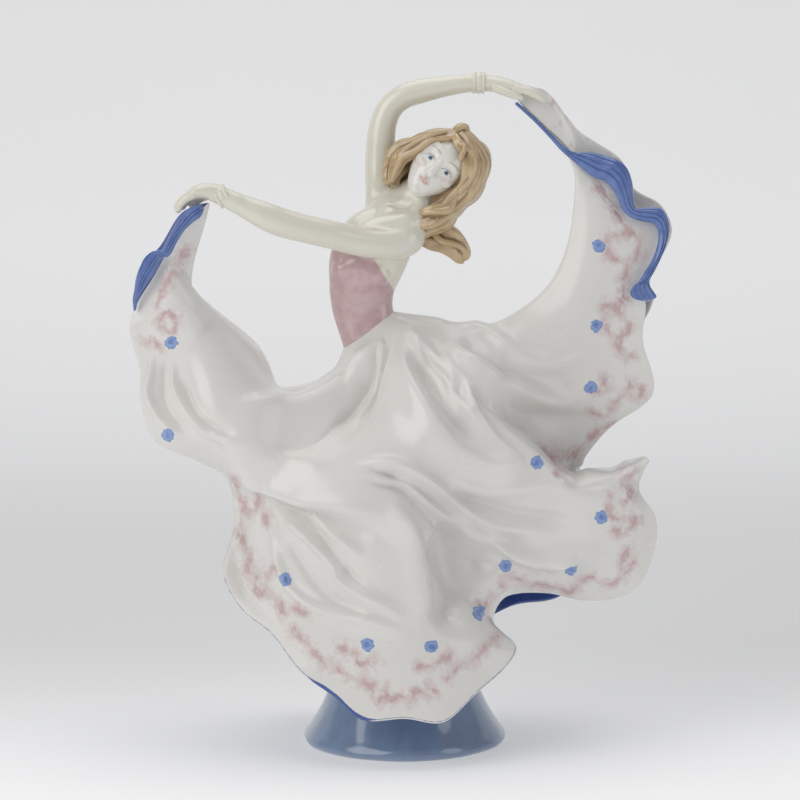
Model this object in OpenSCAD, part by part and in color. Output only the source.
// Glazed porcelain dancer figurine with a swirling skirt, on a round plinth.
// Origin: centre of the plinth's foot. +Z up, -Y is the front, +X is the viewer's right.
// Right and left in the names are the viewer's, seen from the front.

/* [Plinth] */
// Diameter of the plinth across its foot
foot_d = 92; // [86:1:100]
// Diameter of the plinth across its top
top_d = 68; // [60:1:76]
// Height of the plinth
plinth_h = 28; // [24:1:30]
// Wall of the hollow plinth
plinth_wall = 4; // [3:0.5:6]
// Diameter of the firing vent under the plinth
vent_d = 8; // [5:1:12]

/* [Inner stem] */
// Diameter of the spigot that seats the stem in the plinth
spigot_d = 16; // [12:1:20]
// Depth of the spigot in the plinth's top
spigot_h = 4; // [3:0.5:4]
// Wall of the hollow stem
stem_wall = 3.4; // [2.5:0.1:4]
// Diameter of the drain hole up through the spigot
drain_d = 7; // [4:1:9]

/* [Skirt] */
// Wall of the cast skirt
skirt_wall = 2.6; // [2:0.1:3.2]
// Half length of the waist opening, side to side
waist_a = 13.6; // [12:0.2:15]
// Half length of the waist opening, front to back
waist_b = 9.6; // [8.5:0.1:11]
// Wall of the turned-back hem strips
turnback_wall = 2.2; // [1.6:0.1:3]

/* [Figure] */
// Radius of both wrists
wrist_r = 3.7; // [3.2:0.1:4.2]
// Radius of the bracelet's round section
bracelet_r = 1.1; // [0.8:0.1:1.5]
// Half length of the head, chin to crown
head_half = 17; // [16:0.5:18]

/* [Hidden] */

white_glaze = "#dcdad4";
skin_glaze = "#d8d4c6";
pink_glaze = "#c4a3a4";
blue_glaze = "#5469a6";
slate_glaze = "#5b7290";
hair_glaze = "#b59a6e";

// ---- Skirt cage -----------------------------------------------------------
// Each ring runs once round the skirt. An entry is [station, x, y, z]. Station 0 is at
// the left hand, 27 at the middle of the front hem, 64.4 at the right hand, and 120 is
// the left hand again. One station is about 12 mm of hem.
STATIONS = 120;
waist_c = [-15.8, -1, 187.6];
waist_tilt = 36;

hip_ring = [
    [0, -33, -6, 169], [8, -30, -16, 166], [16, -26, -24, 162], [26, -14, -30, 161],
    [34, -2, -28, 168], [42, 9, -22, 178], [48, 14, -16, 184], [54, 16, -8, 189],
    [64, 14, 0, 193], [74, 12, 12, 190], [86, 3, 24, 178], [100, -16, 26, 166],
    [112, -30, 12, 168],
];
thigh_ring = [
    [0, -54, -7, 161], [4, -53, -18, 159], [8, -54, -28, 158], [12, -52, -38, 149],
    [16, -45, -46, 138], [20, -36, -50, 128], [26, -14, -54, 124], [32, 3, -50, 132],
    [36, 16, -44, 143], [40, 29, -38, 152], [44, 36, -32, 160], [48, 39, -24, 167],
    [52, 40, -18, 174], [56, 40, -10, 181], [60, 39, -4, 186], [64, 38, 2, 189],
    [70, 37, 12, 186], [78, 37, 24, 176], [86, 31, 36, 152], [94, 12, 42, 128],
    [101, -16, 44, 118], [108, -44, 36, 133], [114, -54, 16, 154],
];
knee_ring = [
    [0, -65, -8, 179.5], [3, -76, -20, 186], [6, -82, -30, 183], [9, -84, -36, 170],
    [12, -79, -42, 152], [14, -71, -44, 137], [16, -65, -34, 119], [18, -60, -34, 106],
    [20, -50, -42, 95], [23, -33, -50, 82], [26, -14, -56, 76], [29, 3, -54, 78],
    [32, 14, -46, 86], [34, 21, -38, 92], [36, 33, -34, 97], [38, 45, -34, 102],
    [40, 55, -36, 110], [42, 63, -36, 119], [44, 68, -34, 126], [46, 66, -14, 129],
    [48, 61, -4, 136], [50, 64, -2, 145], [53, 70, -6, 162], [56, 71, -6, 181],
    [59, 71, -4, 195], [62, 69, 0, 205], [64.4, 68, 4, 212], [67, 71, 14, 212],
    [71, 78, 24, 203], [76, 81, 34, 180], [81, 73, 46, 151], [86, 64, 54, 126],
    [91, 55, 54, 93], [96, 27, 56, 71], [101, -11, 58, 64], [106, -49, 50, 79],
    [110, -72, 44, 113], [113, -82, 36, 142], [116, -84, 22, 169], [118.5, -68, 4, 181],
];
border_ring = [
    [0, -92.7, -19, 204], [1.5, -95, -26, 212], [3, -99, -32, 209], [5, -103, -32, 196],
    [7, -103, -30, 183], [9, -102, -28, 167], [11, -96, -34, 149], [12.7, -83, -36, 139],
    [14, -76, -34, 129], [15.5, -71, -18, 113], [17.6, -70, -26, 87], [19.5, -62, -34, 74],
    [21.5, -48, -44, 62], [23.5, -35, -52, 51], [25.5, -17, -58, 42], [28, 6, -60, 43],
    [30, 21, -56, 49], [32, 33, -46, 57], [34, 35, -32, 69], [36, 50, -26, 78],
    [38, 69, -26, 82], [40, 87, -28, 89], [42, 95, -30, 104], [44, 92, -28, 123],
    [45.6, 91, -6, 125.6], [47.4, 80, 8, 118], [48.6, 71, 10, 123], [50, 78, 8, 136],
    [52, 90, 4, 157], [54, 90, 0, 178], [56, 89, -2, 201], [58, 92, -2, 218],
    [60, 86, 0, 235], [62, 80, 4, 250], [63.4, 74, 6, 260], [64.4, 75, 8, 263],
    [65.6, 78, 12, 263], [67.5, 84, 18, 254], [69.5, 94, 22, 242], [72, 107, 22, 229],
    [75, 105, 26, 206], [78, 99, 34, 180], [81, 91, 44, 151], [84.5, 78, 52, 126],
    [88, 78, 54, 88], [92, 59, 48, 68], [96, 31, 50, 56], [100, -7, 56, 40],
    [104, -44, 54, 52], [108, -67, 46, 89], [111.5, -79, 40, 122], [114, -99, 34, 152],
    [116.5, -106, 22, 181], [118, -104.5, 8, 204], [119.2, -95.5, -9, 209],
];
hem_ring = [
    [0, -84.5, -35, 244.5], [1.3, -93, -37, 237], [2.6, -103, -32, 223], [3.8, -109, -28, 213],
    [5.2, -117, -26, 200], [6.6, -120, -26, 188], [8, -116, -24, 172], [9.3, -116, -24, 158],
    [11, -109, -26, 140], [12.7, -90, -22, 130], [14, -79, -12, 121], [15.8, -76, -14, 102],
    [17.6, -80, -26, 82], [19.2, -72, -34, 67], [20.8, -58, -42, 57], [22.6, -45, -50, 42],
    [24.2, -30, -56, 32], [25.6, -18, -60, 23], [27, 0, -62, 24], [28.6, 17, -60, 22],
    [30.2, 31, -54, 33], [31.7, 44, -46, 43], [32.8, 49, -38, 51], [34, 40.2, -24, 58.7],
    [35, 45.7, -14, 68], [36.4, 63, -14, 70], [38, 82, -16, 67], [39.6, 101, -18, 71],
    [41, 110, -20, 86], [42.5, 111.5, -22, 105], [43.6, 104, -22, 118.4], [44.6, 108, -18, 130.6],
    [46, 103, 0, 128], [47.4, 89, 10, 112], [48.6, 79, 14, 120], [50, 92, 12, 140],
    [51.8, 112, 8, 157], [53.8, 107, 4, 182], [55.4, 108, 2, 199], [56.4, 103, 1, 205],
    [57.4, 112, 2, 221], [58.4, 113, 3, 234], [59.4, 102, 4, 238], [60.5, 95, 5, 248],
    [61.5, 88, 6, 255], [62.3, 80, 7, 260], [63.2, 72, 8, 270], [64.4, 51, 8, 290],
    [65.4, 62, 10, 294], [67, 78, 14, 276], [68.6, 97, 18, 263], [70.2, 104, 20, 249],
    [71.4, 116, 20, 242], [72.8, 121, 20, 229], [74.4, 113, 20, 209], [75.4, 114, 20, 201],
    [77.4, 106, 30, 182], [79.5, 108, 40, 158], [82, 92, 50, 138], [84.5, 81, 58, 116],
    [87, 92, 56, 93], [89.5, 95, 46, 73], [92, 73, 38, 60], [94.5, 51, 40, 53.2],
    [97, 27, 50, 44], [100, -7, 58, 30], [103, -40, 56, 34], [105.5, -62, 50, 53],
    [108, -72, 44, 83], [110.5, -76, 40, 109], [112.6, -93, 36, 131], [114.2, -110, 30, 159],
    [115.4, -115, 20, 183], [116.6, -121, 8, 199], [117.6, -118, -2, 215],
    [118.5, -108, -8, 225], [119.3, -97, -20, 240],
];
RINGS = [hip_ring, thigh_ring, knee_ring, border_ring, hem_ring];
CAGE = [for (r = RINGS) wrap(r)];
LEVELS = len(RINGS);

// Stations where one cast section of the skirt meets the next
left_edge = 0;
left_notch = 14;
apron_end = 34;
flounce_end = 48.6;
right_edge = 64.9;
back_right_end = 84.5;
back_center_end = 105.5;

function unit(a) = a / norm(a);
function with_station(q, shift) = [q[0] + shift, q[1], q[2], q[3]];
function wrap(r) = concat(
    [with_station(r[len(r) - 1], -STATIONS)], r,
    [with_station(r[0], STATIONS), with_station(r[1], STATIONS)]);
function xyz(q) = [q[1], q[2], q[3]];
function segment(r, u) = max([for (k = [1 : len(r) - 3]) if (r[k][0] <= u || k == 1) k]);
function slope(a, b) = (xyz(b) - xyz(a)) / (b[0] - a[0]);
// Cubic between p and q with end slopes m and n, over a span h, at fraction t
function cubic(p, q, m, n, h, t) =
    (2 * t * t * t - 3 * t * t + 1) * p + (t * t * t - 2 * t * t + t) * h * m
    + (3 * t * t - 2 * t * t * t) * q + (t * t * t - t * t) * h * n;
function ring_point(r, u) =
    let (k = segment(r, u), h = r[k + 1][0] - r[k][0], t = (u - r[k][0]) / h)
    cubic(xyz(r[k]), xyz(r[k + 1]), slope(r[k - 1], r[k + 1]), slope(r[k], r[k + 2]), h, t);
// The waist opening is a tilted oval. Its angle follows the station.
function waist_point(u) =
    let (a = 180 + u / STATIONS * 360)
    waist_c + waist_a * cos(a) * [cos(waist_tilt), 0, sin(waist_tilt)]
    + waist_b * sin(a) * [0, 1, 0];
function rib(u) = concat([waist_point(u)], [for (r = CAGE) ring_point(r, u)]);
function rib_slope(c, k) =
    k == 0 ? c[1] - c[0] : k == LEVELS ? c[k] - c[k - 1] : (c[k + 1] - c[k - 1]) / 2;
function skirt_at(c, v) =
    let (k = min(floor(v), LEVELS - 1))
    cubic(c[k], c[k + 1], rib_slope(c, k), rib_slope(c, k + 1), 1, v - k);
function skirt(u, v) = skirt_at(rib(u), v);
function skirt_normal(u, v) =
    let (e = 0.05, lo = max(v - e, 0), hi = min(v + e, LEVELS))
    unit(cross(skirt(u, hi) - skirt(u, lo), skirt(u + e, v) - skirt(u - e, v)));

// A closed wall between an outer and an inner grid of the same size
module wall(outer, inner) {
    rows = len(outer);
    cols = len(outer[0]);
    all_points = concat([for (r = outer) each r], [for (r = inner) each r]);
    shift = rows * cols;
    function at(i, j) = i * cols + j;
    faces = concat(
        [for (i = [0 : rows - 2], j = [0 : cols - 2]) each [
            [at(i, j), at(i, j + 1), at(i + 1, j + 1)],
            [at(i, j), at(i + 1, j + 1), at(i + 1, j)]]],
        [for (i = [0 : rows - 2], j = [0 : cols - 2]) each [
            [shift + at(i, j), shift + at(i + 1, j + 1), shift + at(i, j + 1)],
            [shift + at(i, j), shift + at(i + 1, j), shift + at(i + 1, j + 1)]]],
        [for (i = [0 : rows - 2]) each [
            [at(i, 0), at(i + 1, 0), shift + at(i + 1, 0)],
            [at(i, 0), shift + at(i + 1, 0), shift + at(i, 0)]]],
        [for (i = [0 : rows - 2], j = [cols - 1]) each [
            [at(i + 1, j), at(i, j), shift + at(i, j)],
            [at(i + 1, j), shift + at(i, j), shift + at(i + 1, j)]]],
        [for (j = [0 : cols - 2]) each [
            [at(0, j + 1), at(0, j), shift + at(0, j)],
            [at(0, j + 1), shift + at(0, j), shift + at(0, j + 1)]]],
        [for (j = [0 : cols - 2], i = [rows - 1]) each [
            [at(i, j), at(i, j + 1), shift + at(i, j + 1)],
            [at(i, j), shift + at(i, j + 1), shift + at(i, j)]]]);
    polyhedron(all_points, faces);
}

// One cast section of the skirt between two stations
module skirt_section(u0, u1) {
    n = ceil((u1 - u0) / 1.1);
    us = [for (i = [0 : n]) u0 + (u1 - u0) * i / n];
    vs = [0, 0.5, 1, 1.5, 2, 2.5, 3, 3.5, 4, 4.5, 5];
    outer = [for (u = us) [for (v = vs) skirt(u, v)]];
    inner = [for (u = us) [for (v = vs) skirt(u, v) - skirt_wall * skirt_normal(u, v)]];
    color(white_glaze) wall(outer, inner);
}

// ---- Lofts ----------------------------------------------------------------
// A station is [x, y, z, a, b, tilt]: the centre, half the width across, half the depth
// front to back, and how far the width's direction is turned up from +X.
SIDES = 14;
function station_ring(s) = [for (i = [0 : SIDES - 1])
    let (w = 360 * i / SIDES)
    [s[0], s[1], s[2]] + s[3] * cos(w) * [cos(s[5]), 0, sin(s[5])] + s[4] * sin(w) * [0, 1, 0]];
function blend_stations(s, k, t) =
    let (a = s[max(k - 1, 0)], b = s[k], c = s[k + 1], d = s[min(k + 2, len(s) - 1)])
    cubic(b, c, (c - a) / 2, (d - b) / 2, 1, t);
function fine(s, steps) = concat(
    [for (k = [0 : len(s) - 2], i = [0 : steps - 1]) blend_stations(s, k, i / steps)],
    [s[len(s) - 1]]);
module loft(stations, steps = 2) {
    rings = [for (s = fine(stations, steps)) station_ring(s)];
    count = len(rings);
    polyhedron([for (r = rings) each r], concat(
        [[for (i = [0 : SIDES - 1]) i]],
        [for (k = [0 : count - 2], i = [0 : SIDES - 1]) each [
            [k * SIDES + i, (k + 1) * SIDES + i, (k + 1) * SIDES + (i + 1) % SIDES],
            [k * SIDES + i, (k + 1) * SIDES + (i + 1) % SIDES, k * SIDES + (i + 1) % SIDES]]],
        [[for (i = [SIDES - 1 : -1 : 0]) (count - 1) * SIDES + i]]));
}
// A limb's tilt follows its path: a station here is [x, y, z, a, b]
function heading(p, k) =
    let (d = p[min(k + 1, len(p) - 1)] - p[max(k - 1, 0)]) atan2(-d[0], d[2]);
module limb(path, steps = 2) {
    smooth = fine(path, steps);
    loft([for (k = [0 : len(smooth) - 1]) concat(smooth[k], [heading(smooth, k)])], 1);
}

// ---- Plinth and stem ------------------------------------------------------
module base_plinth() {
    foot_r = foot_d / 2;
    top_r = top_d / 2;
    foot_round = 3;
    recess = 1.5;
    recess_r = foot_r - 9;
    color(slate_glaze) difference() {
        rotate_extrude($fn = 96) difference() {
            union() {
                polygon([
                    [0, 0], [foot_r - 2, 0], [foot_r, 2], [foot_r, foot_round + 1],
                    [foot_r - 3.5, 10], [foot_r - 7, 18], [top_r, plinth_h - 2],
                    [top_r - 2, plinth_h], [0, plinth_h],
                ]);
            }
            polygon([
                [0, plinth_wall + recess], [foot_r - 9, plinth_wall + recess],
                [top_r - plinth_wall, plinth_h - plinth_wall], [0, plinth_h - plinth_wall],
            ]);
            polygon([[0, -1], [recess_r, -1], [recess_r - 1, recess], [0, recess]]);
        }
        translate([0, 0, -1]) cylinder(h = plinth_wall + recess + 2, d = vent_d, $fn = 48);
        translate([0, 0, plinth_h - plinth_wall - 1])
            cylinder(h = plinth_wall + 2, d = spigot_d, $fn = 48);
    }
}
stem_path = [
    [0, 0, 28, 13, 12, 0], [0, 2, 40, 10, 9, 0], [0, 1, 70, 10, 10, 0],
    [-2, -6, 105, 13, 15, 4], [-8, -6, 140, 17, 16, 14], [-12, -1, 165, 14, 11, 26],
    [-14.6, -1, 184.7, 9.5, 5.8, 36],
];
function shrink(s, t) = [s[0], s[1], s[2], s[3] - t, s[4] - t, s[5]];
module inner_stem() {
    color(white_glaze) difference() {
        union() {
            loft(stem_path);
            translate([0, 0, plinth_h - spigot_h])
                cylinder(h = spigot_h + 1, d = spigot_d, $fn = 48);
        }
        loft([for (k = [1 : len(stem_path) - 2]) shrink(stem_path[k], stem_wall)]);
        translate([0, 0, plinth_h - spigot_h - 1]) cylinder(h = 16, d = drain_d, $fn = 32);
    }
}

// ---- Turned-back hem strips -----------------------------------------------
// A strip lies between an inner and an outer edge, each [x, y, z]
module strip(edge_a, edge_b) {
    n = len(edge_a);
    mid = [for (k = [0 : n - 1]) (edge_a[k] + edge_b[k]) / 2 + [0, -0.8, 0]];
    front = [for (k = [0 : n - 1]) [edge_a[k], mid[k], edge_b[k]]];
    back = [for (r = front) [for (p = r) p + [0, turnback_wall, 0]]];
    color(blue_glaze) wall(back, front);
}
left_strip_inner = [
    [-85, -39, 244], [-91, -41, 237], [-98, -40, 228], [-101, -37, 222], [-106, -34, 214],
    [-113, -31, 205], [-119, -28, 194],
];
left_strip_outer = [
    [-88, -39, 246], [-97, -41, 240], [-103, -40, 229], [-109, -36, 223], [-115, -33, 215],
    [-119, -31, 204], [-120, -28, 194],
];
right_strip_inner = [
    [73, 4, 265], [79, 3, 260], [86, 2, 255], [93, 1, 248], [97, 0, 239], [105, -1, 235],
    [112, -2, 231], [113, -2, 220], [107, -3, 209], [102, -3, 203], [104, -3, 199],
];
right_strip_outer = [
    [75, 5, 266], [86, 5, 264], [96, 5, 260], [102, 4, 254], [104, 3, 244], [110, 2, 241],
    [117, 1, 236], [118, 0, 222], [112, -1, 210], [110, -2, 205], [114, -3, 200],
];
module left_hem_turnback() strip(left_strip_inner, left_strip_outer);
module right_hem_turnback() strip(right_strip_inner, right_strip_outer);

// ---- Torso and head -------------------------------------------------------
bust_line = [-16.5, -6, 215, 17.5, 12.5, -6];
module bodice() {
    color(pink_glaze) loft([
        concat(waist_c, [waist_a - 0.4, waist_b - 0.4, waist_tilt]),
        [-18, -1, 195.5, 13.8, 9.5, 16], [-18.5, -3, 204, 15, 10.5, 4], bust_line,
    ]);
}
module shoulders() {
    color(skin_glaze) loft([
        bust_line, [-14.2, -4, 222.5, 17.4, 11.2, -16], [-10, -1.5, 229.8, 16.2, 9.5, -31],
        [-5.5, 0, 236, 11, 8, -38], [-2, 0, 240, 7, 6.5, -40],
    ]);
}
head_c = [14, -5, 260];
head_tilt = 45;
function head_at(s, depth, a, b) = concat(
    head_c + s * [sin(head_tilt), 0, cos(head_tilt)] + [0, depth, 0], [a, b, -head_tilt]);
module head() {
    h = head_half;
    color(skin_glaze) {
        loft([
            head_at(-h, -6, 2, 2), head_at(-0.85 * h, -3, 6, 7), head_at(-0.45 * h, 0, 9.5, 12),
            head_at(0, 1, 11.5, 14), head_at(0.35 * h, 2, 12, 14.5), head_at(0.7 * h, 2, 10, 12),
            head_at(0.92 * h, 2, 6, 7), head_at(h, 2, 1.5, 2),
        ]);
        limb([[-1.5, 0, 240.5, 7, 6.5], [3, 0, 245, 5.6, 5.6], [8, 1, 251, 6, 6.5], [12, 2, 257, 5, 6]]);
    }
}
module hair_cap() {
    h = head_half;
    color(hair_glaze) difference() {
        loft([
            head_at(-0.55 * h, 9, 4, 3), head_at(-0.35 * h, 8, 11, 9), head_at(0, 5, 15, 14),
            head_at(0.4 * h, 4, 16, 16), head_at(0.85 * h, 4, 13, 14), head_at(1.1 * h, 4, 8, 9),
            head_at(1.22 * h, 4, 2, 2),
        ]);
        loft([
            head_at(-0.9 * h, -3, 8, 9), head_at(-0.45 * h, 0, 9.8, 12.3), head_at(0, 1, 11.8, 14.3),
            head_at(0.35 * h, 2, 12.3, 14.8), head_at(0.7 * h, 2, 10.3, 12.3),
            head_at(0.92 * h, 2, 6.3, 7.3), head_at(1.02 * h, 2, 1.6, 2.1),
        ]);
        translate(head_c + [0, -16, 0]) rotate([0, head_tilt, 0]) translate([-14, -10, -40])
            cube([28, 16, 52]);
    }
}
module hair_front_waves() {
    color(hair_glaze) limb([
        [21, -17, 276, 2, 2], [12, -18, 276, 3.4, 3], [2, -15, 271, 4, 3.4],
        [-5, -8, 263, 4, 3.6], [-8, -2, 253, 3, 3], [-6, 0, 247, 1, 1],
    ]);
}
module hair_side_lock() {
    color(hair_glaze) limb([
        [24, -17, 274, 2.4, 2.4], [33, -15, 268, 4, 3.6], [35, -12, 257, 5, 4.4],
        [30, -11, 247, 5, 4.4], [22, -10, 240, 4.4, 4], [14, -9, 239, 3, 3], [8, -8, 238, 1, 1],
    ]);
}
module hair_tail() {
    color(hair_glaze) limb([
        [26, 6, 250, 6, 6], [20, 6, 240, 7.5, 6.5], [19, 5, 231, 8, 6.5],
        [24, 3, 223, 7, 5.5], [27, 2, 216, 3.6, 3], [26, 2, 213, 1, 1],
    ]);
}
module hair_top_curl() {
    color(hair_glaze) limb([
        [17, -6, 278.5, 1.4, 1.4], [20, -6, 280, 1.9, 1.8], [24, -5, 280.5, 1.6, 1.6],
        [26, -4, 278.5, 0.7, 0.7],
    ]);
}

// ---- Arms, bracelets and hands --------------------------------------------
left_wrist = [-82.5, -35, 249.7];
right_wrist = [34, 7, 297.4];
left_wrist_turn = 66;
right_wrist_turn = -86;
module left_arm() {
    color(skin_glaze) limb([
        [4, -7, 230.4, 5, 5.6], [0, -12, 228, 7.2, 7.2], [-13, -18, 226.8, 6.9, 6.9],
        [-32, -26, 231, 6.3, 6.3], [-45, -30, 234.2, 6.2, 6.1], [-54, -32, 236.8, 6.4, 6.1],
        [-61, -33.5, 239.8, 6, 5.8], [-69, -34, 243.4, 4.9, 5], [-76, -35, 246.8, 4.2, 4.5],
        concat(left_wrist, [wrist_r, wrist_r]),
    ]);
}
module right_arm() {
    color(skin_glaze) limb([
        [-11.2, 4, 236, 5.6, 5.8], [-11.4, 7, 247, 6, 6.4], [-11, 8, 260, 6.5, 6.6],
        [-10.4, 8, 271, 6.5, 6.4], [-9.4, 8, 279, 6.1, 6.2], [-6.2, 8, 286.4, 5.8, 6],
        [-0.4, 8, 291.2, 5.6, 5.8], [7, 8, 293.6, 5.5, 5.6], [18, 8, 295.8, 4.7, 5],
        [27, 7.5, 297, 4.1, 4.4], concat(right_wrist, [wrist_r, wrist_r]),
    ]);
}
module bracelet(centre, turn) {
    color(skin_glaze) translate(centre) rotate([0, turn, 0]) rotate_extrude($fn = 60)
        translate([wrist_r + bracelet_r + 0.05, 0]) circle(r = bracelet_r, $fn = 24);
}
module left_bracelet() bracelet(left_wrist + [3.5, 0, -1.5], left_wrist_turn);
module right_bracelet() bracelet(right_wrist + [-2, 0, 0], right_wrist_turn);
// Fingers lie side by side across the palm, from front to back
module fingers(path, count, pitch, r) {
    for (k = [0 : count - 1]) {
        side = (k - (count - 1) / 2) * pitch;
        limb([for (p = path) [p[0], p[1] + side, p[2], r * p[3], r * p[3]]]);
    }
}
module left_hand() {
    color(skin_glaze) {
        limb([
            concat(left_wrist, [wrist_r, wrist_r]), [-86, -35, 250.4, 3.5, 4.8],
            [-90, -35, 249.8, 3.1, 5.1], [-93.5, -35, 248, 2.2, 4.6],
        ]);
        fingers([[-91.5, -35, 249, 1], [-95.4, -35, 247, 1], [-98, -35, 244, 0.9], [-98.4, -35, 241, 0.6]],
            4, 2.4, 1.5);
        limb([[-84, -32, 248.6, 2, 2], [-89, -30.7, 246.8, 1.7, 1.7], [-93, -31, 243.4, 1, 1]]);
    }
}
module right_hand() {
    color(skin_glaze) {
        limb([
            concat(right_wrist, [wrist_r, wrist_r]), [40, 7, 297, 3.5, 4.8],
            [46, 7, 296, 3.2, 5.1], [51, 7, 294.8, 2.3, 4.7],
        ]);
        fingers([[49.5, 7, 295.2, 1], [55.7, 7, 294.2, 1], [61, 7, 291.6, 0.9], [64, 7, 289.2, 0.6]],
            4, 2.4, 1.5);
        limb([[40, 3.4, 295.4, 2, 2], [46, 1.8, 292.6, 1.7, 1.7], [52.5, 2, 290.4, 1, 1]]);
    }
}

base_plinth();
inner_stem();
skirt_section(left_edge, left_notch);  // skirt_left_wing
skirt_section(left_notch, apron_end);  // skirt_front_apron
skirt_section(apron_end, flounce_end);  // skirt_right_flounce
skirt_section(flounce_end, right_edge);  // skirt_right_wing
skirt_section(right_edge, back_right_end);  // skirt_back_right
skirt_section(back_right_end, back_center_end);  // skirt_back_center
skirt_section(back_center_end, STATIONS);  // skirt_back_left
left_hem_turnback();
right_hem_turnback();
bodice();
shoulders();
head();
hair_cap();
hair_front_waves();
hair_side_lock();
hair_tail();
hair_top_curl();
left_arm();
left_bracelet();
left_hand();
right_arm();
right_bracelet();
right_hand();
